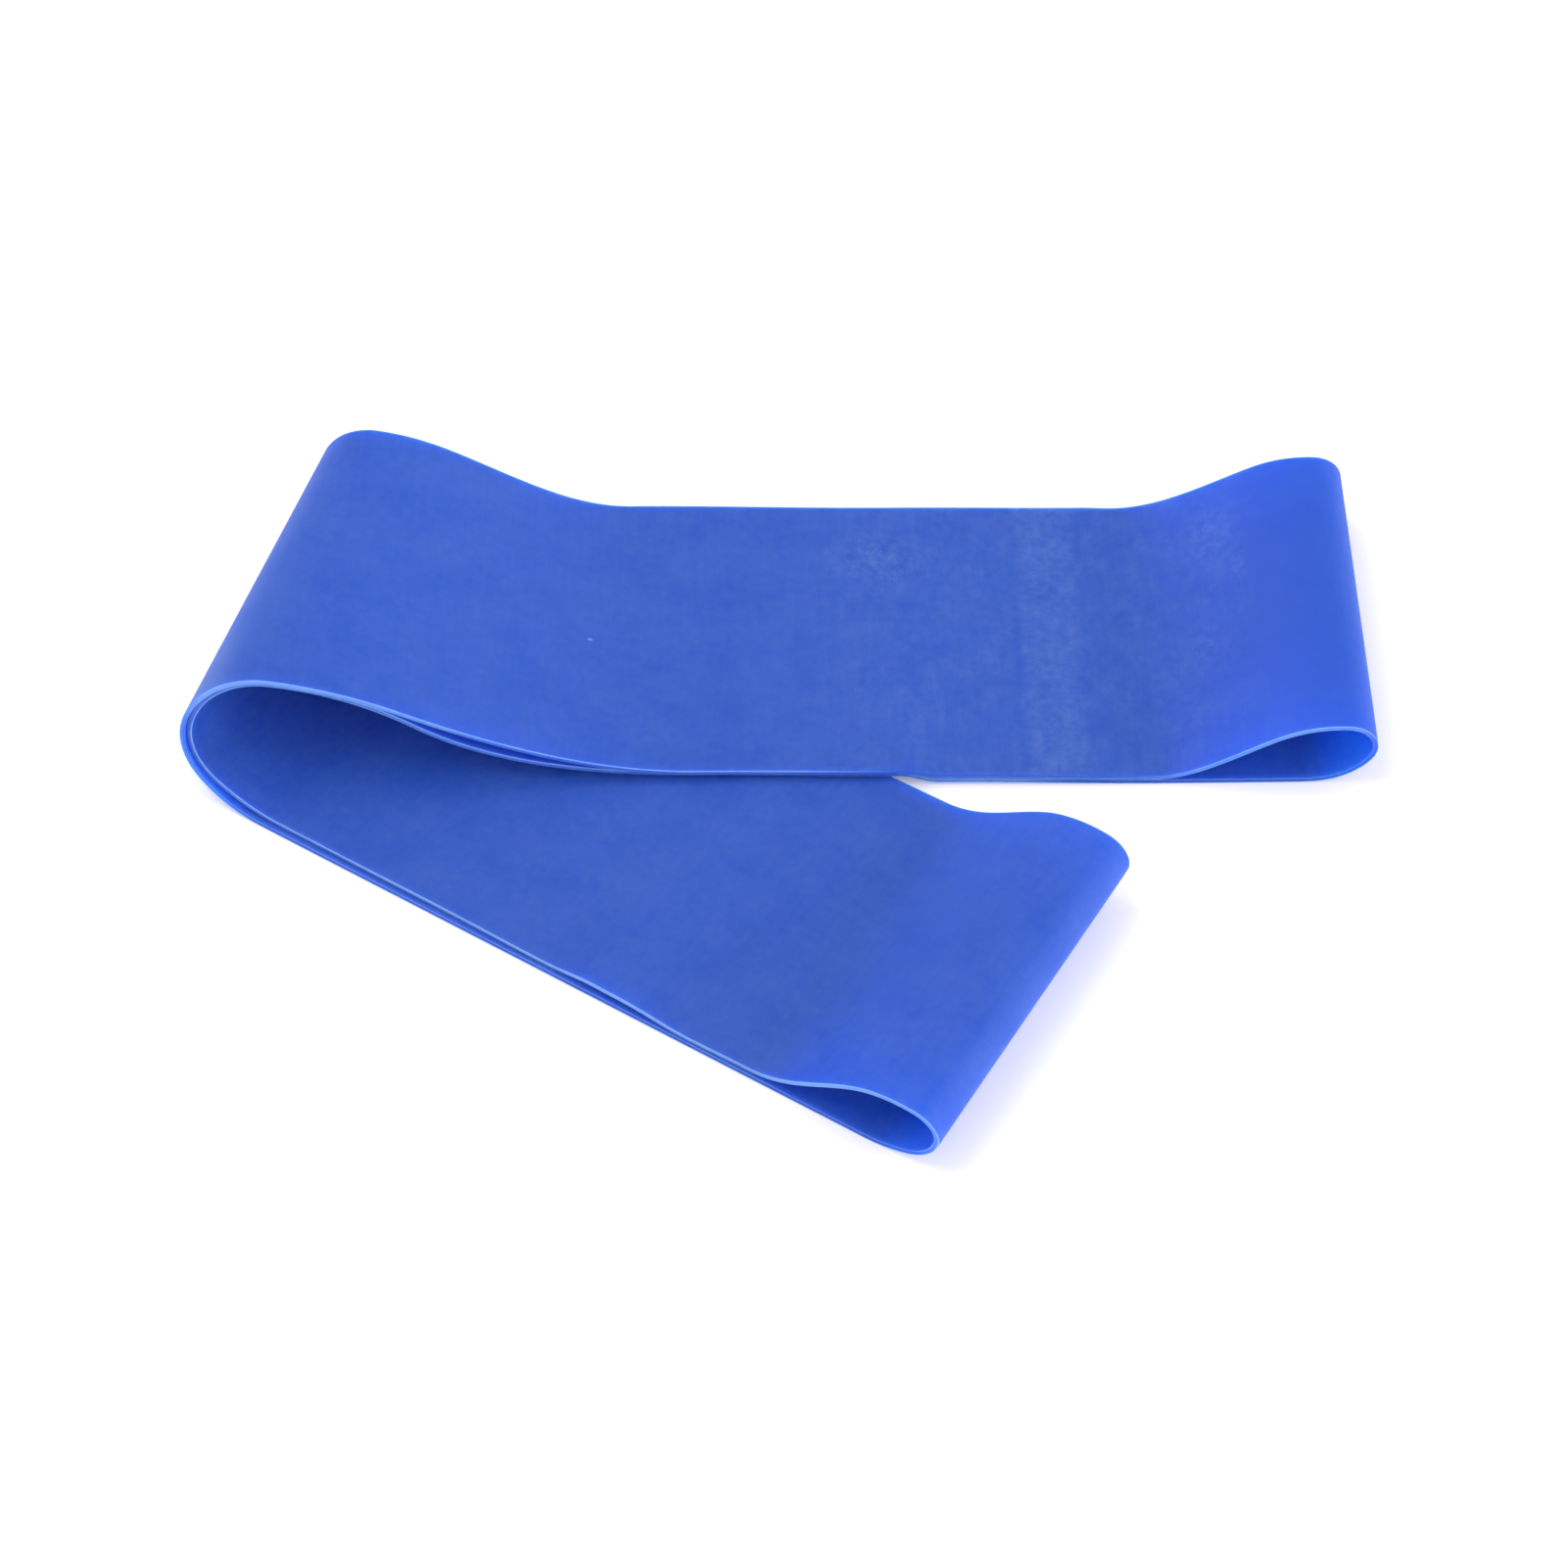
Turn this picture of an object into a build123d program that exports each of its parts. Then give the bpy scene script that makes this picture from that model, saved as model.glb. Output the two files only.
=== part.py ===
from build123d import *
import os
from math import cos, degrees, radians, sin, sqrt

os.makedirs("parts", exist_ok=True)

# A flat band of sheet latex, joined into one endless loop. It lies flattened to two plies and
# folded over once, so that an upper leg crosses a lower leg and each leg ends in an open loop.
# The upper leg runs along +X, the table is Z = 0, and the fold is at the -X end.

# ---- the band, in mm
BAND_WIDTH = 50.0
SHEET = 0.7
PLY_PITCH = 0.8

# ---- the two legs
LEG_ANGLE = 31.7
UPPER_LEG_SHIFT = 6.0
PLY_SLIP = 0.8

# ---- each bend is (radius at mid-sheet, turn in degrees, skew of the rulings where it ends)
FOLD_SKEW = 0.31
OUTER_FOLD = [(13.4, 40.1, 0.26), (8.8, 64.4, 0.27), (9.5, 78.1, 0.15), (43.7, 17.6, -0.01)]
INNER_FOLD = [(21.2, 28.8, 0.27), (7, 77.4, 0.25), (8.5, 73.6, 0.13), (37.4, 29.5, 0.1)]
INNER_FOLD_START = 2.9
UPPER_TIP = [(474.1, 2.2), (77.4, 2), (9, 55.4), (4.3, 117.5), (16, 32.3)]
UPPER_TIP_START = 116.3
UPPER_TIP_END = 115.1
LOWER_TIP = [(15.1, 23.5), (6.9, 55.9), (3.7, 92.9), (14.7, 35.6)]
LOWER_TIP_START = 103.8
LOWER_TIP_END = 85.6

# ---- where the folded plies come down on the upper leg: (front edge, back edge)
OUTER_LANDING = (52.4, 42.4)
INNER_LANDING = (52.7, 25.1)
FRONT_LIFT = 0.3
BACK_LIFT = 1.25

# ---- where the upper leg steps off the lower leg on to the table
STEP_START = 80.5
STEP_END_FRONT = 90.0
STEP_END_BACK = 108.0
STEP_BACK_LIFT = 0.5

# ---- where the lower leg's top ply stands off the bottom one along its front edge
PLY_GAP = 0.55
GAP_START = 38.0
GAP_MIDDLE = (58.0, 75.0)

BEND_STEPS = 5
CORNERS = ("front_out", "back_out", "back_in", "front_in")

half_width = BAND_WIDTH / 2
half_sheet = SHEET / 2
up = Vector(0, 0, 1)
upper_way = Vector(1, 0, 0)
lower_way = Vector(cos(radians(LEG_ANGLE)), -sin(radians(LEG_ANGLE)), 0)
lower_back = Vector(sin(radians(LEG_ANGLE)), cos(radians(LEG_ANGLE)), 0)


class Section:
    """A straight cross-section of the sheet: its two ends and its direction of travel."""

    def __init__(self, front, back, way, face):
        # face is the unit normal of the sheet towards the inside of the loop
        self.front_in = front + face * half_sheet
        self.front_out = front - face * half_sheet
        self.back_in = back + face * half_sheet
        self.back_out = back - face * half_sheet
        self.way = way


def rolled(centre, way, face, bends, skew, toward_back, slip=None):
    """Rolls the flat sheet through a chain of bends and returns its cross-sections.

    Each cross-section is a ruling of a developable strip: it leans off square by its skew,
    so the sheet bends without stretching. slip moves the sheet sideways as it goes round.
    """
    slip = slip or Vector()
    length = sum(bend[0] * radians(abs(bend[1])) for bend in bends)
    gone = 0.0
    sections = []

    def mark():
        across = way.cross(face) + way * skew
        middle = centre + slip * (gone / length)
        ends = (middle + across * half_width, middle - across * half_width)
        back, front = ends if toward_back else reversed(ends)
        sections.append(Section(front, back, way, face))

    mark()
    for radius, turn, end_skew in bends:
        arc = radius * radians(abs(turn)) / BEND_STEPS
        skew_step = (end_skew - skew) / BEND_STEPS
        for _ in range(BEND_STEPS):
            lean = skew + skew_step / 2
            axis = Axis((0, 0, 0), way.cross(face) + way * lean)
            angle = radians(turn) / BEND_STEPS * sqrt(1 + lean * lean)
            middle_way = way.rotate(axis, degrees(angle / 2))
            along = axis.direction * axis.direction.dot(middle_way)
            chord = along + (middle_way - along) * (sin(angle / 2) / (angle / 2))
            centre = centre + chord * arc
            way = way.rotate(axis, degrees(angle))
            face = face.rotate(axis, degrees(angle))
            skew = skew + skew_step
            gone = gone + arc
            mark()
    return sections


def rail(sections, corner, smooth):
    points = [getattr(section, corner) for section in sections]
    with BuildLine() as line:
        if smooth:
            Spline(*points, tangents=(sections[0].way, sections[-1].way))
        else:
            Polyline(*points)
    return line.edges()[0]


def skin(sections, smooth=True):
    """The four long faces of the sheet between the first and the last of the cross-sections."""
    rails = [rail(sections, corner, smooth) for corner in CORNERS]
    return [Face.make_surface_from_curves(rails[i - 1], rails[i]) for i in range(4)]


def slab(start, end):
    """The four plane faces of the sheet where it lies level between two cross-sections."""
    faces = []
    for i in range(4):
        one, other = CORNERS[i - 1], CORNERS[i]
        outline = [getattr(start, one), getattr(end, one), getattr(end, other), getattr(start, other)]
        faces.append(Face(Wire.make_polygon(outline)))
    return faces


def across_upper(x, z_front, z_back, way, face):
    front = Vector(x[0], UPPER_LEG_SHIFT - half_width, z_front + half_sheet)
    back = Vector(x[1], UPPER_LEG_SHIFT + half_width, z_back + half_sheet)
    return Section(front, back, way, face)


def across_lower(distance, z_front, z_back):
    middle = lower_way * distance + lower_back * PLY_SLIP
    front = middle - lower_back * half_width + up * (z_front + half_sheet)
    back = middle + lower_back * half_width + up * (z_back + half_sheet)
    return Section(front, back, -lower_way, -up)


# ---- the sheet's course round the loop, ply by ply
outer_fold = rolled(up * half_sheet, -lower_way, up, OUTER_FOLD, FOLD_SKEW, True)
outer_landing = across_upper(
    OUTER_LANDING, 3 * PLY_PITCH + FRONT_LIFT, PLY_PITCH + BACK_LIFT, upper_way, -up
)
step_top = (STEP_START, STEP_START)
step_foot = (STEP_END_FRONT, STEP_END_BACK)
outer_step_top = across_upper(
    step_top, 3 * PLY_PITCH, PLY_PITCH + STEP_BACK_LIFT, upper_way, -up
)
outer_step_foot = across_upper(step_foot, PLY_PITCH, PLY_PITCH, upper_way, -up)

upper_tip = rolled(
    Vector(UPPER_TIP_START, UPPER_LEG_SHIFT, half_sheet),
    upper_way,
    up,
    [(radius, turn, 0) for radius, turn in UPPER_TIP],
    0,
    False,
)
upper_tip_end = across_upper(
    (UPPER_TIP_END, UPPER_TIP_END), PLY_PITCH, PLY_PITCH, -upper_way, -up
)

inner_start = lower_way * INNER_FOLD_START + lower_back * PLY_SLIP
inner_fold = rolled(
    inner_start + up * (PLY_PITCH + half_sheet),
    -lower_way,
    -up,
    [(radius, -turn, -skew) for radius, turn, skew in INNER_FOLD],
    -FOLD_SKEW,
    False,
)
inner_landing = across_upper(
    INNER_LANDING, 2 * PLY_PITCH + FRONT_LIFT, BACK_LIFT, upper_way, up
)
inner_step_top = across_upper(step_top, 2 * PLY_PITCH, STEP_BACK_LIFT, upper_way, up)
inner_step_foot = across_upper(step_foot, 0, 0, upper_way, up)

lower_tip = rolled(
    lower_way * LOWER_TIP_START + up * half_sheet,
    lower_way,
    up,
    [(radius, turn, 0) for radius, turn in LOWER_TIP],
    0,
    False,
    lower_back * PLY_SLIP,
)
lower_tip_end = across_lower(LOWER_TIP_END, PLY_PITCH, PLY_PITCH)
gap_middle = [across_lower(distance, PLY_PITCH + PLY_GAP, PLY_PITCH) for distance in GAP_MIDDLE]
gap_start = across_lower(GAP_START, PLY_PITCH, PLY_PITCH)

with BuildPart() as latex_loop:
    curved = [
        outer_fold,
        [outer_fold[-1], outer_landing],
        [outer_step_top, outer_step_foot],
        [upper_tip[-1], upper_tip_end],
        upper_tip,
        [inner_step_top, inner_step_foot],
        [inner_fold[-1], inner_landing],
        inner_fold,
        [lower_tip[-1], lower_tip_end],
        [lower_tip_end, gap_middle[1], gap_middle[0], gap_start],
        lower_tip,
    ]
    leaning = [
        [outer_landing, outer_step_top],
        [inner_landing, inner_step_top],
    ]
    level = [
        [outer_step_foot, upper_tip_end],
        [upper_tip[0], inner_step_foot],
        [inner_fold[0], gap_start],
        [lower_tip[0], outer_fold[0]],
    ]
    faces = [face for course in curved for face in skin(course)]
    faces += [face for course in leaning for face in skin(course, smooth=False)]
    faces += [face for course in level for face in slab(*course)]
    add(Solid(Shell(faces)))

# ---- the origin goes to the middle of the footprint, on the table
footprint = latex_loop.part.bounding_box().center()
latex_loop.part = latex_loop.part.moved(Location((-footprint.X, -footprint.Y, 0)))

latex_loop.part.label = "latex_loop"
export_step(latex_loop.part, "parts/latex_loop.step")
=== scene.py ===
from math import cos, radians, sin, sqrt

import bpy
import numpy as np
from mathutils import Matrix, Vector


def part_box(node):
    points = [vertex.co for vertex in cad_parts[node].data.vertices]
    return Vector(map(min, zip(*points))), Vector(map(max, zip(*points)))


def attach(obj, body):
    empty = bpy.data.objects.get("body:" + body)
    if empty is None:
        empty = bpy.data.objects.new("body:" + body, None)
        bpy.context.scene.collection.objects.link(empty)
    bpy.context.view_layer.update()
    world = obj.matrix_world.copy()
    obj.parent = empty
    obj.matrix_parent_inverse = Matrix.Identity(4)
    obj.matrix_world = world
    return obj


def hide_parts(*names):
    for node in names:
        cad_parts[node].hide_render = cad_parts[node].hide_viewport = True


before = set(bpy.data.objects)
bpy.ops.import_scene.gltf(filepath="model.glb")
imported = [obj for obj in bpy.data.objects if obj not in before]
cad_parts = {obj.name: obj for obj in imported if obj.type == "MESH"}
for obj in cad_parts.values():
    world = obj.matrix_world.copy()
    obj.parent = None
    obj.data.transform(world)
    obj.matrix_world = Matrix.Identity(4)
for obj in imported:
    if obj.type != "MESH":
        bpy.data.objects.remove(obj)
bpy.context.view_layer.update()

MM = 0.001
NODE = "latex_loop"

# ---- the band, in mm, as it is cut; plies that touch are a PLY_PITCH apart, so 0.1 mm of air
BAND_WIDTH = 50.0
LOOP_LENGTH = 600.0
SHEET = 0.7
PLY_PITCH = 0.8

# ---- the two legs, in mm and degrees: the upper one runs along +X from the fold, with its middle
# ---- line at Y = UPPER_LEG_SHIFT, and the lower one runs under it, LEG_ANGLE further to the front
LEG_ANGLE = 31.7
UPPER_LEG_SHIFT = 6.0

# ---- a bend is (radius at mid-sheet, turn in degrees, skew of the ruling where it ends), and a
# ---- start or end is a distance along its leg, or one for each edge: (front, back)
FOLD_SKEW = 0.31
OUTER_FOLD = [(13.4, 40.1, 0.26), (8.8, 64.4, 0.27), (9.5, 78.1, 0.15), (43.7, 17.6, -0.01)]
INNER_FOLD = [(21.2, 28.8, 0.27), (7, 77.4, 0.25), (8.5, 73.6, 0.13), (37.4, 29.5, 0.1)]
INNER_FOLD_START = 2.8
UPPER_TIP = [(1800, 0.58, 0), (43, 3.62, 0), (9, 55.4, 0), (4.42, 117.5, 0), (16, 32.3, 0)]
UPPER_TIP_START = 116.3
UPPER_TIP_END = (115.1, 112.5)
LOWER_TIP = [(15.1, 23.5, 0), (6.9, 55.9, 0), (3.7, 92.9, 0), (14.7, 35.6, 0)]
LOWER_TIP_START = 103.6
LOWER_TIP_END = (85.6, 86.0)

# ---- where the folded plies come down on the upper leg: (front, back)
OUTER_LANDING = (52.4, 42.4)
INNER_LANDING = (52.7, 38.0)
FRONT_LIFT = 0.3
BACK_LIFT = 1.25

# ---- where the upper leg steps off the lower leg on to the table: its back edge is lifted at the
# ---- start of the step, and its front edge at the end
STEP_START = 80.5
STEP_END = (86.0, 108.0)
STEP_BACK_LIFT = 0.5
STEP_FRONT_LIFT = 0.35
STEP_SLIP = 0.15

# ---- how far the lower leg's top ply has slipped back: where the fold starts, all along its back
# ---- edge, and at the front edge of its bight
PLY_SLIP = 0.8
BACK_SLIP = 1.0
TIP_SLIP = 0.4

# ---- and the upper leg's bottom ply where it comes down, and the fold's inner ply where it ends
UNDER_SLIP = 0.5
FOLD_SLIP = 0.8

# ---- the front edge of the lower leg's top ply: (distance along the leg, lift, slip)
LOWER_GAP = [
    (36.0, 0, 0.8),
    (54.0, 0, 0.6),
    (61.5, 0.85, 0.5),
    (65.5, 0.85, 0.45),
    (77.0, 0, 0.3),
]

# ---- the mesh: stations along the strip, columns across it, and the strip's map, where the
# ---- inner face lies INSIDE_SHIFT beside the outer one
BEND_STEPS = 5
STATION_SPACING = 0.9
FEWEST_STEPS = 2
COLUMNS = 56
EDGE_ROUND = 0.13
EDGE_TURNS = (30, 60, 90)
INSIDE_SHIFT = 100.0

HALF_WIDTH = BAND_WIDTH / 2
HALF_SHEET = SHEET / 2
UP = Vector((0, 0, 1))
UPPER_WAY = Vector((1, 0, 0))
UPPER_BACK = Vector((0, 1, 0))
LOWER_WAY = Vector((cos(radians(LEG_ANGLE)), -sin(radians(LEG_ANGLE)), 0))
LOWER_BACK = Vector((sin(radians(LEG_ANGLE)), cos(radians(LEG_ANGLE)), 0))


def rolled(centre, way, face, bends, skew, toward_back, front_slip=Vector(), back_slip=Vector()):
    """The rulings of a flat strip rolled through a chain of bends: (front, back, way).

    face is the sheet's normal toward the inside of the loop, and a positive turn bends toward
    it. skew is how far the first ruling leans off square, and the slips are how far each edge
    has moved by the last one.
    """
    length = sum(radius * radians(abs(turn)) for radius, turn, _ in bends)
    gone = 0.0
    rulings = []

    def mark():
        across = way.cross(face) + way * skew
        ends = [centre + across * HALF_WIDTH, centre - across * HALF_WIDTH]
        back, front = ends if toward_back else ends[::-1]
        share = gone / length
        rulings.append((front + front_slip * share, back + back_slip * share, way.copy()))

    mark()
    for radius, turn, end_skew in bends:
        arc = radius * radians(abs(turn)) / BEND_STEPS
        skew_step = (end_skew - skew) / BEND_STEPS
        for _ in range(BEND_STEPS):
            lean = skew + skew_step / 2
            axis = (way.cross(face) + way * lean).normalized()
            angle = radians(turn) / BEND_STEPS * sqrt(1 + lean * lean)
            middle_way = Matrix.Rotation(angle / 2, 3, axis) @ way
            along = axis * axis.dot(middle_way)
            chord = along + (middle_way - along) * (sin(angle / 2) / (angle / 2))
            centre = centre + chord * arc
            turned = Matrix.Rotation(angle, 3, axis)
            way, face = turned @ way, turned @ face
            skew += skew_step
            gone += arc
            mark()
    return rulings


def across_upper(x_front, x_back, z_front, z_back, way, slip=0.0):
    """A ruling of the upper leg, where heights are those of the sheet's underside."""
    front = Vector((x_front, UPPER_LEG_SHIFT + slip - HALF_WIDTH, z_front + HALF_SHEET))
    back = Vector((x_back, UPPER_LEG_SHIFT + slip + HALF_WIDTH, z_back + HALF_SHEET))
    return front, back, way


def across_lower(distance, front_lift, slip, back_distance=None):
    """A ruling of the lower leg's top ply, with its front edge lifted and slipped back."""
    height = UP * (PLY_PITCH + HALF_SHEET)
    front = LOWER_WAY * distance + LOWER_BACK * (slip - HALF_WIDTH) + height + UP * front_lift
    back = LOWER_WAY * (back_distance or distance) + LOWER_BACK * (BACK_SLIP + HALF_WIDTH) + height
    return front, back, LOWER_WAY


def turned_round(rulings):
    """The same rulings, met from the other end."""
    return [(front, back, -way) for front, back, way in reversed(rulings)]


def loop_rulings():
    """Once round the loop, from the lower bight and back to it.

    The order is the lower leg's bottom ply, the fold's outer ply, the upper leg's top ply, its
    bight, its bottom ply, the fold's inner ply, the lower leg's top ply and its bight.
    """
    p = PLY_PITCH
    fold_out = rolled(UP * HALF_SHEET, -LOWER_WAY, UP, OUTER_FOLD, FOLD_SKEW, True)
    tip_up = rolled(
        Vector((UPPER_TIP_START, UPPER_LEG_SHIFT, HALF_SHEET)), UPPER_WAY, UP, UPPER_TIP, 0, False
    )
    inner_start = LOWER_WAY * INNER_FOLD_START + LOWER_BACK * PLY_SLIP + UP * (p + HALF_SHEET)
    inner_bends = [(radius, -turn, -skew) for radius, turn, skew in INNER_FOLD]
    # the inner ply draws back half way between the two legs' directions to the back
    recess = (LOWER_BACK + UPPER_BACK).normalized() * FOLD_SLIP
    fold_in = rolled(inner_start, -LOWER_WAY, -UP, inner_bends, -FOLD_SKEW, False, recess, recess)
    tip_low = rolled(
        LOWER_WAY * LOWER_TIP_START + UP * HALF_SHEET,
        LOWER_WAY, UP, LOWER_TIP, 0, False, LOWER_BACK * TIP_SLIP, LOWER_BACK * BACK_SLIP,
    )
    step_start = (STEP_START, STEP_START)
    course = [(tip_low[0][0], tip_low[0][1], -LOWER_WAY)] + fold_out
    course.append(across_upper(*OUTER_LANDING, 3 * p + FRONT_LIFT, p + BACK_LIFT, UPPER_WAY))
    course.append(across_upper(*step_start, 3 * p, p + STEP_BACK_LIFT, UPPER_WAY))
    course.append(across_upper(*STEP_END, p + STEP_FRONT_LIFT, p, UPPER_WAY, STEP_SLIP))
    course.append(across_upper(*UPPER_TIP_END, p, p, UPPER_WAY))
    course += turned_round(tip_up)
    course.append(across_upper(*STEP_END, STEP_FRONT_LIFT, 0, -UPPER_WAY, STEP_SLIP))
    course.append(across_upper(*step_start, 2 * p, STEP_BACK_LIFT, -UPPER_WAY, UNDER_SLIP / 2))
    course.append(
        across_upper(*INNER_LANDING, 2 * p + FRONT_LIFT, BACK_LIFT, -UPPER_WAY, UNDER_SLIP)
    )
    course += turned_round(fold_in)
    course += [across_lower(*place) for place in LOWER_GAP]
    course.append(across_lower(LOWER_TIP_END[0], 0, TIP_SLIP, LOWER_TIP_END[1]))
    course += turned_round(tip_low)
    return course


def hermite(start, end, start_way, end_way, steps):
    """Points of a cubic from start up to, and not including, end."""
    t = (np.arange(steps) / steps)[:, None]
    chord = np.linalg.norm(end - start)
    return (
        (2 * t**3 - 3 * t**2 + 1) * start
        + (t**3 - 2 * t**2 + t) * chord * start_way
        + (3 * t**2 - 2 * t**3) * end
        + (t**3 - t**2) * chord * end_way
    )


def smoothed(course):
    """The sheet's two long edges, each a row of points about STATION_SPACING apart."""
    front_points, back_points = [], []
    for start, end in zip(course, course[1:]):
        f0, b0, way0 = (np.array(part) for part in start)
        f1, b1, way1 = (np.array(part) for part in end)
        span = max(np.linalg.norm(f1 - f0), np.linalg.norm(b1 - b0))
        steps = max(FEWEST_STEPS, round(span / STATION_SPACING))
        front_points.append(hermite(f0, f1, way0, way1, steps))
        back_points.append(hermite(b0, b1, way0, way1, steps))
    return np.vstack(front_points), np.vstack(back_points)


def run_length(points):
    """How far along the strip each point of an edge is, with the whole loop at its cut length."""
    steps = np.linalg.norm(np.roll(points, -1, axis=0) - points, axis=1)
    return np.concatenate([[0], np.cumsum(steps)]) * LOOP_LENGTH / steps.sum()


front, back = smoothed(loop_rulings())
front_run, back_run = run_length(front), run_length(back)
stations = len(front)
across = np.linspace(0, 1, COLUMNS)
middle = front[:, None] * (1 - across)[None, :, None] + back[:, None] * across[None, :, None]

# ---- normals of the middle surface, towards the inside of the loop
along = np.roll(middle, -1, axis=0) - np.roll(middle, 1, axis=0)
inward = np.cross(np.broadcast_to((back - front)[:, None], middle.shape), along)
inward /= np.linalg.norm(inward, axis=2, keepdims=True)
ruling = (back - front) / np.linalg.norm(back - front, axis=1, keepdims=True)

# ---- the sheet's cross-section as a closed ring of columns: outer face, back cut edge, inner
# ---- face and front cut edge, each column with the material slot of the strip of faces after it
FACE, CORNER, CUT = 0, 1, 2
OUTER, INNER, EDGE = -1, 1, 0
BACK_COLUMN = COLUMNS - 1
ring, ring_across, ring_side, ring_slot = [], [], [], []


def add_column(column, inset, height, side, slot):
    """Adds a column of points, inset from the band's edge and height toward the loop's inside."""
    toward_middle = ruling if column == 0 else -ruling
    ring.append(middle[:, column] + toward_middle * inset + inward[:, column] * height)
    ring_across.append(across[column])
    ring_side.append(side)
    ring_slot.append(slot)


def add_face(columns, side):
    for column in columns:
        inset = EDGE_ROUND if column in (0, BACK_COLUMN) else 0
        slot = CORNER if column == columns[-1] else FACE
        add_column(column, inset, HALF_SHEET * side, side, slot)


def add_cut_edge(column, side):
    """Rounds the sheet over from one face to the other, with a flat between two small radii."""
    corner = []
    for turned in EDGE_TURNS:
        angle = radians(turned)
        corner.append((EDGE_ROUND * (1 - sin(angle)), EDGE_ROUND * (1 - cos(angle))))
    for inset, drop in corner:
        slot = CUT if inset == corner[-1][0] else CORNER
        add_column(column, inset, (HALF_SHEET - drop) * side, EDGE, slot)
    for inset, drop in corner[::-1]:
        add_column(column, inset, -(HALF_SHEET - drop) * side, EDGE, CORNER)


add_face(range(COLUMNS), OUTER)
add_cut_edge(BACK_COLUMN, OUTER)
add_face(range(BACK_COLUMN, -1, -1), INNER)
add_cut_edge(0, INNER)
ring = np.stack(ring, axis=1)
ring_size = ring.shape[1]

# ---- the same frame as the CAD: middle of the footprint at the origin
low, high = ring.reshape(-1, 3).min(axis=0), ring.reshape(-1, 3).max(axis=0)
cad_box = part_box(NODE)
cad_middle = (np.array(cad_box[0]) + np.array(cad_box[1])) / 2
shift = cad_middle / MM - (low + high) / 2
shift[2] = 0
vertices = (ring.reshape(-1, 3) + shift) * MM

faces, strip_places, slots = [], [], []
for i in range(stations):
    for c in range(ring_size):
        d = (c + 1) % ring_size
        here, there = i * ring_size, (i + 1) % stations * ring_size
        faces.append((here + c, there + c, there + d, here + d))
        inside = INSIDE_SHIFT if INNER in (ring_side[c], ring_side[d]) else 0
        for station, column in ((i, c), (i + 1, c), (i + 1, d), (i, d)):
            w = ring_across[column]
            run = front_run[station] * (1 - w) + back_run[station] * w
            strip_places.append((run * MM, (w * BAND_WIDTH + inside) * MM))
        slots.append(ring_slot[c])

mesh = bpy.data.meshes.new("band_sheet")
mesh.from_pydata(vertices.tolist(), [], faces)
mesh.uv_layers.new(name="strip").data.foreach_set("uv", np.array(strip_places).ravel())
mesh.polygons.foreach_set("material_index", slots)
mesh.polygons.foreach_set("use_smooth", [True] * len(faces))
mesh.update()
band = bpy.data.objects.new("band_sheet", mesh)
bpy.context.scene.collection.objects.link(band)


# ---- the latex: dyed right through, lets a little light through, with a thin uneven chalky film
# ---- each material's colours: (clean latex, latex under the film and in painted highlights, latex in its darker places and in painted shade); the corners' colours are lighter all over, as a painted highlight along the rims
FACE_COLOURS = (0.0115, 0.081, 0.545), (0.16, 0.26, 0.66), (0.0083, 0.0583, 0.392)
CORNER_HIGHLIGHT_COLOURS = (0.14, 0.25, 0.80), (0.3, 0.42, 0.9), (0.01, 0.065, 0.44)
CUT_COLOURS = (0.036, 0.118, 0.58), (0.16, 0.28, 0.7), (0.007, 0.05, 0.38)
# a deeper blue on the way up to the upper bight, and a painted glow inside the ends of both
# bights, for light let through the sheet
RAMP_BLUE = (0.013, 0.084, 0.63)
PAINTED_GLOW_BLUE = (0.025, 0.142, 0.64)

# ---- its gloss, how far light of each colour goes inside it and its fine relief, in mm
SPECULAR = 0.36
INDEX_OF_REFRACTION = 1.5
SCATTER_RADIUS = (1.4, 2.7, 4.2)
RELIEF_STRENGTH = 0.35
RELIEF_HEIGHT = 0.04

# ---- patterns of noise on the strip: (size along and across in mm, detail, roughness)
GRAIN = ((1.5, 1.5), 5.0, 0.7)
CLOUDS = ((9, 7), 4.0, 0.6)
STREAKS = ((1.0, 9), 3.0, 0.6)
BLOTCHES = ((3.0, 4.0), 6.0, 0.75)
SCRATCHES = ((0.9, 8), 2.0, 0.55)
RELIEF = ((0.5, 1.2), 4.0, 0.6)

# ---- what a pattern gives: from its low and its high value, to an amount at each
GRAIN_FILM = (0.3, 0.7, 0, 0.09)
CLOUD_FILM = (0.35, 0.65, 0, 0.06)
STREAK_FILM = (0.4, 0.7, 0, 0.03)
BLOTCH_FILM = (0.42, 0.72, 0, 0.12)
SCRATCH_FILM = (0.5, 0.72, 0, 0.035)
STRIPE_FILM = (0.3, 0.65, 0.03, 0.13)
RUBBED_GRAIN = (0.42, 0.62)
CLOUD_SHADE = (0.3, 0.5, 0.10, 0)
GRAIN_ROUGHNESS = (0.3, 0.7, 0.54, 0.66)

# ---- places on the strip: (centre, half sizes in mm, share of the oval over which it fades)
WORN_END = ((238, 25), (42, 60), 0.5)
WHITE_SPECK = ((175, 22.7), (0.45, 0.3), 0.5)
# painted sheen where the fold's front turns away
FOLD_FRONT_SHEEN = ((121, 0), (8, 18), 0.8)
CLEAN_TOP = ((284, 25), (20, 60), 0.6)
RAMP_UP = ((266, 28), (18, 60), 0.5)
# painted shade on the rims and cut edges of the plies that lie on the table, under the plies above
ON_FLOOR_PAINTED_SHADE = [((600, 0), (14, 8), 0.6), ((311, 0), (30, 8), 0.35)]
# painted shade on the rims of the lower leg's bottom ply and of the upper leg's right part, where
# they catch little light
CORNER_PAINTED_SHADE = [((57, 0), (67, 8), 0.15), ((234, 0), (32, 6), 0.6)]
# painted shade on the cut edge of the lower leg's bottom ply, under the ply above
CUT_PAINTED_SHADE = [((44, 0), (64, 8), 0.3)]
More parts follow.
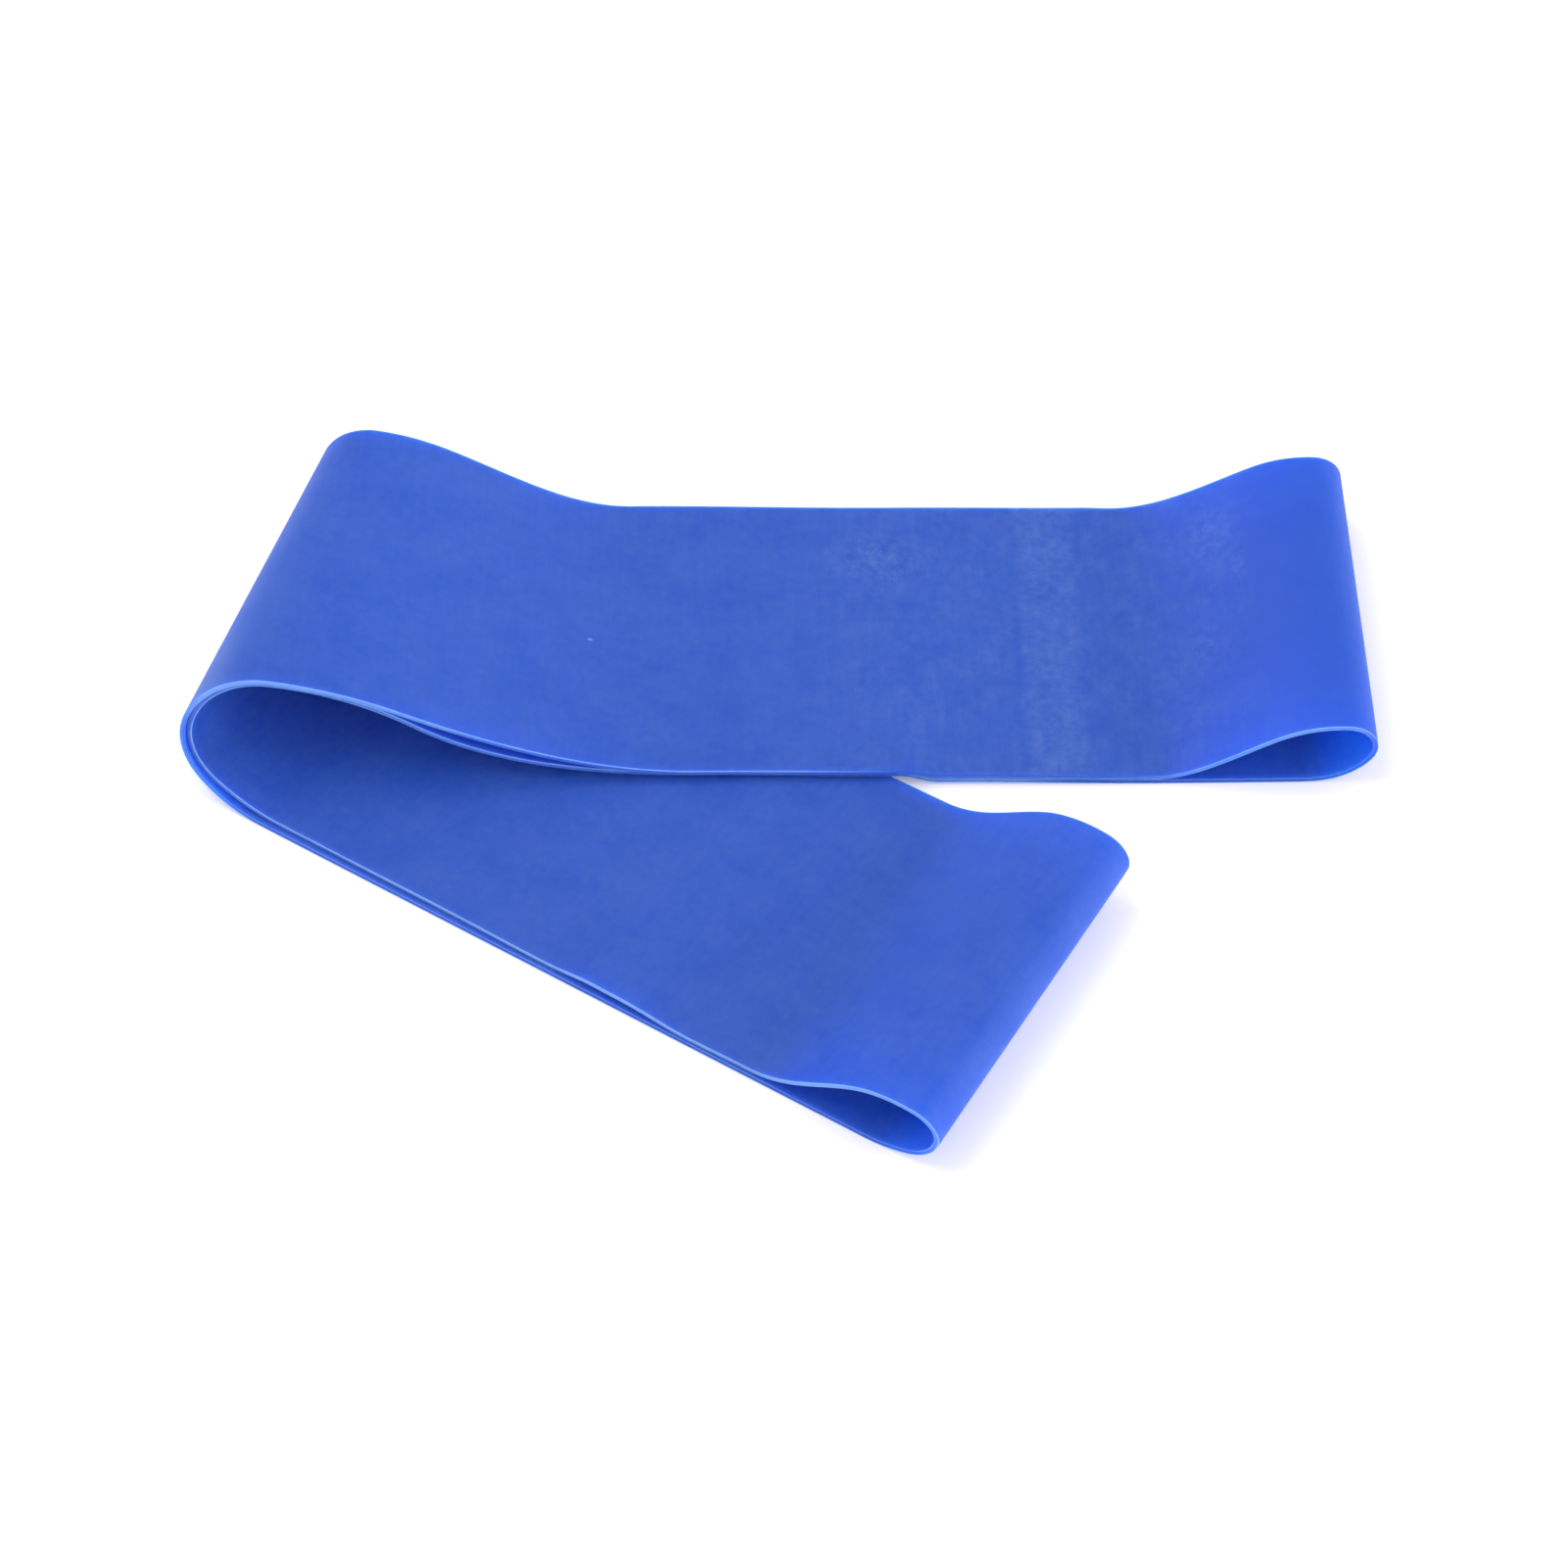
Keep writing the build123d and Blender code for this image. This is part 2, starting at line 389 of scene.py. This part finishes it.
# painted highlight: the cut edges of the upper plies, pale right through
CUT_PAINTED_HIGHLIGHT = [((138, 0), (24, 8), 0.3), ((532, 0), (50, 8), 0.3)]
# (place along the strip, half width, fade)
STRIPE = (240.5, 3.2, 1.8)
# how much film there is at the fold's front as a painted sheen, is left on the clean top and is on
# the cuts as a painted highlight
FOLD_FRONT_SHEEN_FILM = 0.2
CLEAN_TOP_FILM = 0.3
PAINTED_HIGHLIGHT_FILM = 0.55

# ---- and with a soft rim: (centre, half sizes in mm, strength)
SOFT_RIM = 0.8
RUBBED = (
    ((216, 39.5), (10, 7), 0.16),
    ((265, 40), (6, 8), 0.16),
    ((269, 33), (2.2, 5), 0.18),
    ((262.5, 21), (3, 5), 0.16),
)
DARKER = (
    ((214.7, 41.2), (0.9, 0.8), 0.30),
    ((255, 20), (12, 40), 0.16),
    ((551, 32), (6, 12), 0.14),
    ((559, 15), (7, 9), 0.16),
    ((545, 12), (6, 9), 0.10),
)
# painted glow: a brighter blue on the inner faces near the bights' ends, for light let through the
# sheet
PAINTED_GLOW_INSIDE_BIGHTS = (((293, 100), (9, 14), 1.0), ((593, 100), (8, 14), 0.4))

# ---- which of a Mix node's sockets are for colours
MIX_ONE, MIX_OTHER, MIX_RESULT = 6, 7, 2


class Surface:
    """A principled material over the strip's own flat coordinates, in mm along and across it."""

    def __init__(self, name):
        self.material = bpy.data.materials.new(name)
        self.material.use_nodes = True
        self.tree = self.material.node_tree
        self.shader = self.tree.nodes["Principled BSDF"]
        place = self.tree.nodes.new("ShaderNodeUVMap")
        place.uv_map = "strip"
        self.place = place.outputs["UV"]

    def link(self, value, socket):
        if isinstance(value, bpy.types.NodeSocket):
            self.tree.links.new(value, socket)
        else:
            socket.default_value = value

    def mapped(self, centre, size):
        """Coordinates that are 0 at centre and grow by 1 over size, both in mm."""
        made = self.tree.nodes.new("ShaderNodeMapping")
        made.vector_type = "TEXTURE"
        made.inputs["Location"].default_value = (centre[0] * MM, centre[1] * MM, 0)
        made.inputs["Scale"].default_value = (size[0] * MM, size[1] * MM, 1)
        self.link(self.place, made.inputs["Vector"])
        return made.outputs["Vector"]

    def noise(self, size, detail, rough):
        made = self.tree.nodes.new("ShaderNodeTexNoise")
        made.inputs["Scale"].default_value = 1.0
        made.inputs["Detail"].default_value = detail
        made.inputs["Roughness"].default_value = rough
        self.link(self.mapped((0, 0), size), made.inputs["Vector"])
        return made.outputs["Fac"]

    def ramp(self, value, low, high, start, end):
        """A smooth change from start to end as the value goes from low to high."""
        made = self.tree.nodes.new("ShaderNodeMapRange")
        made.interpolation_type = "SMOOTHSTEP"
        self.link(value, made.inputs["Value"])
        made.inputs["From Min"].default_value = low
        made.inputs["From Max"].default_value = high
        made.inputs["To Min"].default_value = start
        made.inputs["To Max"].default_value = end
        return made.outputs["Result"]

    def maths(self, kind, one, other):
        """One step of arithmetic, where a sum stays within 0 and 1."""
        made = self.tree.nodes.new("ShaderNodeMath")
        made.operation = kind
        made.use_clamp = kind == "ADD"
        self.link(one, made.inputs[0])
        self.link(other, made.inputs[1])
        return made.outputs["Value"]

    def times(self, one, other):
        return self.maths("MULTIPLY", one, other)

    def plus(self, one, other):
        return self.maths("ADD", one, other)

    def patch(self, centre, size, rim):
        """1 inside an oval of these half sizes, fading to 0 over the outer share that is rim."""
        out = self.tree.nodes.new("ShaderNodeVectorMath")
        out.operation = "LENGTH"
        self.link(self.mapped(centre, size), out.inputs[0])
        return self.ramp(out.outputs["Value"], 1 - rim, 1, 1, 0)

    def stripe(self, along, half, fade):
        """1 within half of a place along the strip, right across it, and 0 a fade further out."""
        split = self.tree.nodes.new("ShaderNodeSeparateXYZ")
        self.link(self.mapped((along, 0), (1, 1)), split.inputs[0])
        away = self.tree.nodes.new("ShaderNodeMath")
        away.operation = "ABSOLUTE"
        self.link(split.outputs["X"], away.inputs[0])
        return self.ramp(away.outputs["Value"], half, half + fade, 1, 0)

    def mix(self, share, one, other):
        """A colour that goes from one to the other as the share goes from 0 to 1."""
        made = self.tree.nodes.new("ShaderNodeMix")
        made.data_type = "RGBA"
        self.link(share, made.inputs["Factor"])
        for colour, socket in ((one, MIX_ONE), (other, MIX_OTHER)):
            value = (*colour, 1) if isinstance(colour, tuple) else colour
            self.link(value, made.inputs[socket])
        return made.outputs[MIX_RESULT]


def marked_film(made, film_and_highlight, grain):
    """Adds marks on the faces of the upper leg: the film's wear, a lighter stripe, rubbed places,
    a speck, and a painted sheen along the fold's front.
    """
    # worn uneven towards the leg's end
    worn = made.patch(*WORN_END)
    film_and_highlight = made.plus(film_and_highlight, made.times(made.ramp(made.noise(*BLOTCHES), *BLOTCH_FILM), worn))
    film_and_highlight = made.plus(film_and_highlight, made.times(made.ramp(made.noise(*SCRATCHES), *SCRATCH_FILM), worn))
    # a lighter stripe square across the strip
    stripe = made.stripe(*STRIPE)
    film_and_highlight = made.plus(film_and_highlight, made.times(stripe, made.ramp(grain, *STRIPE_FILM)))
    for centre, size, strength in RUBBED:
        rubbed = made.patch(centre, size, SOFT_RIM)
        film_and_highlight = made.plus(film_and_highlight, made.times(rubbed, made.ramp(grain, *RUBBED_GRAIN, 0, strength)))
    film_and_highlight = made.plus(film_and_highlight, made.patch(*WHITE_SPECK))
    # a painted sheen along the fold's front
    film_and_highlight = made.plus(film_and_highlight, made.times(made.patch(*FOLD_FRONT_SHEEN), FOLD_FRONT_SHEEN_FILM))
    # the top of the upper bight is nearly clean
    return made.times(film_and_highlight, made.ramp(made.patch(*CLEAN_TOP), 0, 1, 1, CLEAN_TOP_FILM))


def marked_tone(made, tone):
    """A deeper blue on the way up to the upper bight, and a painted glow inside the bights' ends.
    """
    tone = made.mix(made.patch(*RAMP_UP), tone, RAMP_BLUE)
    for centre, size, strength in PAINTED_GLOW_INSIDE_BIGHTS:
        painted_glow = made.times(made.patch(centre, size, SOFT_RIM), strength)
        tone = made.mix(painted_glow, tone, PAINTED_GLOW_BLUE)
    return tone


def latex(name, colours, marked=False, painted_shade_places=(), painted_highlight_places=()):
    """marked is for the faces; the first list of places gets painted shade and loses its film, and
    the second gets more film as a painted highlight.
    """
    tone, film_and_highlight_colour, deep = colours
    made = Surface(name)
    shader = made.shader
    shader.inputs["Specular IOR Level"].default_value = SPECULAR
    shader.inputs["IOR"].default_value = INDEX_OF_REFRACTION
    shader.inputs["Subsurface Weight"].default_value = 1.0
    shader.inputs["Subsurface Radius"].default_value = SCATTER_RADIUS
    shader.inputs["Subsurface Scale"].default_value = MM

    grain = made.noise(*GRAIN)
    clouds = made.noise(*CLOUDS)
    streaks = made.noise(*STREAKS)
    film_and_highlight = made.ramp(grain, *GRAIN_FILM)
    film_and_highlight = made.plus(film_and_highlight, made.ramp(clouds, *CLOUD_FILM))
    film_and_highlight = made.plus(film_and_highlight, made.ramp(streaks, *STREAK_FILM))
    shade = made.ramp(clouds, *CLOUD_SHADE)
    if marked:
        film_and_highlight = marked_film(made, film_and_highlight, grain)
        for centre, size, strength in DARKER:
            shade = made.plus(shade, made.times(made.patch(centre, size, SOFT_RIM), strength))
    # painted shade: these places are darker and without film
    for place in painted_shade_places:
        painted_shade = made.patch(*place)
        shade = made.plus(shade, painted_shade)
        film_and_highlight = made.times(film_and_highlight, made.maths("SUBTRACT", 1.0, painted_shade))
    # painted highlight: more film on these cut edges
    for place in painted_highlight_places:
        film_and_highlight = made.plus(film_and_highlight, made.times(made.patch(*place), PAINTED_HIGHLIGHT_FILM))
    if marked:
        tone = marked_tone(made, tone)
    colour = made.mix(film_and_highlight, made.mix(shade, tone, deep), film_and_highlight_colour)
    made.link(colour, shader.inputs["Base Color"])
    made.link(made.ramp(grain, *GRAIN_ROUGHNESS), shader.inputs["Roughness"])

    bump = made.tree.nodes.new("ShaderNodeBump")
    bump.inputs["Strength"].default_value = RELIEF_STRENGTH
    bump.inputs["Distance"].default_value = RELIEF_HEIGHT * MM
    made.link(made.noise(*RELIEF), bump.inputs["Height"])
    made.link(bump.outputs["Normal"], shader.inputs["Normal"])
    return made.material


# ---- in the order of the slots FACE, CORNER and CUT
mesh.materials.append(latex("latex", FACE_COLOURS, marked=True))
# the rounded corners of the cut edges: lighter, as a painted highlight along the rims
mesh.materials.append(latex("latex_corner_highlight", CORNER_HIGHLIGHT_COLOURS, painted_shade_places=CORNER_PAINTED_SHADE + ON_FLOOR_PAINTED_SHADE))
mesh.materials.append(latex("latex_cut", CUT_COLOURS, painted_shade_places=CUT_PAINTED_SHADE + ON_FLOOR_PAINTED_SHADE, painted_highlight_places=CUT_PAINTED_HIGHLIGHT))

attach(band, "root")
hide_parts(NODE)

# ---- floor, a hair below the band, in mm
FLOOR_REACH = 3000
FLOOR_DROP = 0.05
FLOOR_CORNERS = ((-1, -1), (1, -1), (1, 1), (-1, 1))
PAPER = {
    "Base Color": (0.97, 0.95, 0.955, 1),
    "Roughness": 0.9,
    "Specular IOR Level": 0.1,
    "Emission Color": (1, 0.98, 0.98, 1),
    "Emission Strength": 0.15,
}
floor_mesh = bpy.data.meshes.new("floor")
floor_mesh.from_pydata(
    [(x * FLOOR_REACH * MM, y * FLOOR_REACH * MM, 0) for x, y in FLOOR_CORNERS],
    [],
    [(0, 1, 2, 3)],
)
floor = bpy.data.objects.new("floor", floor_mesh)
floor.location.z = -FLOOR_DROP * MM
bpy.context.scene.collection.objects.link(floor)
paper = bpy.data.materials.new("paper")
paper.use_nodes = True
for socket, value in PAPER.items():
    paper.node_tree.nodes["Principled BSDF"].inputs[socket].default_value = value
floor_mesh.materials.append(paper)


# ---- light
def softbox(name, place, size, power):
    """A rectangular light of this size in metres and power in watts, aimed at the origin."""
    light = bpy.data.lights.new(name, "AREA")
    light.shape = "RECTANGLE"
    light.size, light.size_y = size
    light.energy = power
    holder = bpy.data.objects.new(name, light)
    holder.location = place
    holder.rotation_mode = "QUATERNION"
    holder.rotation_quaternion = (-Vector(place)).to_track_quat("-Z", "Y")
    bpy.context.scene.collection.objects.link(holder)


softbox("key", (-0.5, 0.15, 1.0), (0.75, 0.75), 4.9)
softbox("fill", (0.9, -0.4, 0.35), (0.6, 0.5), 3.5)

# ---- a pale room: brighter at the horizon than overhead, and brighter at the front and right
ROOM_COLOUR = (0.96, 0.97, 1.0, 1)
HORIZON_LIGHT = 1.5
OVERHEAD_LIGHT = 0.55
BRIGHTER_SIDE = (0.14, -0.22, 0)
world = bpy.data.worlds.new("studio")
world.use_nodes = True
sky = world.node_tree
background = sky.nodes["Background"]
background.inputs["Color"].default_value = ROOM_COLOUR
toward = sky.nodes.new("ShaderNodeTexCoord")
height = sky.nodes.new("ShaderNodeSeparateXYZ")
fade = sky.nodes.new("ShaderNodeMapRange")
fade.inputs["From Min"].default_value = 0
fade.inputs["From Max"].default_value = 1
fade.inputs["To Min"].default_value = HORIZON_LIGHT
fade.inputs["To Max"].default_value = OVERHEAD_LIGHT
sky.links.new(toward.outputs["Generated"], height.inputs["Vector"])
sky.links.new(height.outputs["Z"], fade.inputs["Value"])
side = sky.nodes.new("ShaderNodeVectorMath")
side.operation = "DOT_PRODUCT"
side.inputs[1].default_value = BRIGHTER_SIDE
sky.links.new(toward.outputs["Generated"], side.inputs[0])
uneven = sky.nodes.new("ShaderNodeMath")
uneven.operation = "MULTIPLY_ADD"
sky.links.new(side.outputs["Value"], uneven.inputs[0])
sky.links.new(fade.outputs["Result"], uneven.inputs[1])
sky.links.new(fade.outputs["Result"], uneven.inputs[2])
sky.links.new(uneven.outputs["Value"], background.inputs["Strength"])
bpy.context.scene.world = world
bpy.context.scene.view_settings.view_transform = "Standard"

# ---- camera: stands in front of the band and looks down on it; in degrees and mm, and its aim is
# ---- a point on the table in the coordinates of the fold
CAMERA_TURN = 0.875
CAMERA_TILT = 52.003
CAMERA_ROLL = -1.102
CAMERA_DISTANCE = 456.727
CAMERA_AIM = (64.723, -18.611, 0)
SENSOR_WIDTH = 36
LENS_TO_SENSOR = 2.1201
CLIP_START = 10

turn, tilt, roll = radians(CAMERA_TURN), radians(CAMERA_TILT), radians(CAMERA_ROLL)
backward = Vector((sin(turn) * cos(tilt), -cos(turn) * cos(tilt), sin(tilt)))
rightward = (-backward).cross(UP).normalized()
upward = rightward.cross(-backward)
right = rightward * cos(roll) + upward * sin(roll)
top = upward * cos(roll) - rightward * sin(roll)
aim = (Vector(CAMERA_AIM) + Vector(shift)) * MM
camera_data = bpy.data.cameras.new("camera")
camera_data.sensor_width = SENSOR_WIDTH
camera_data.lens = SENSOR_WIDTH * LENS_TO_SENSOR
camera_data.clip_start = CLIP_START * MM
camera = bpy.data.objects.new("camera", camera_data)
place = aim + backward * CAMERA_DISTANCE * MM
facing = Matrix((right, top, backward)).transposed().to_4x4()
camera.matrix_world = Matrix.Translation(place) @ facing
bpy.context.scene.collection.objects.link(camera)
bpy.context.scene.camera = camera
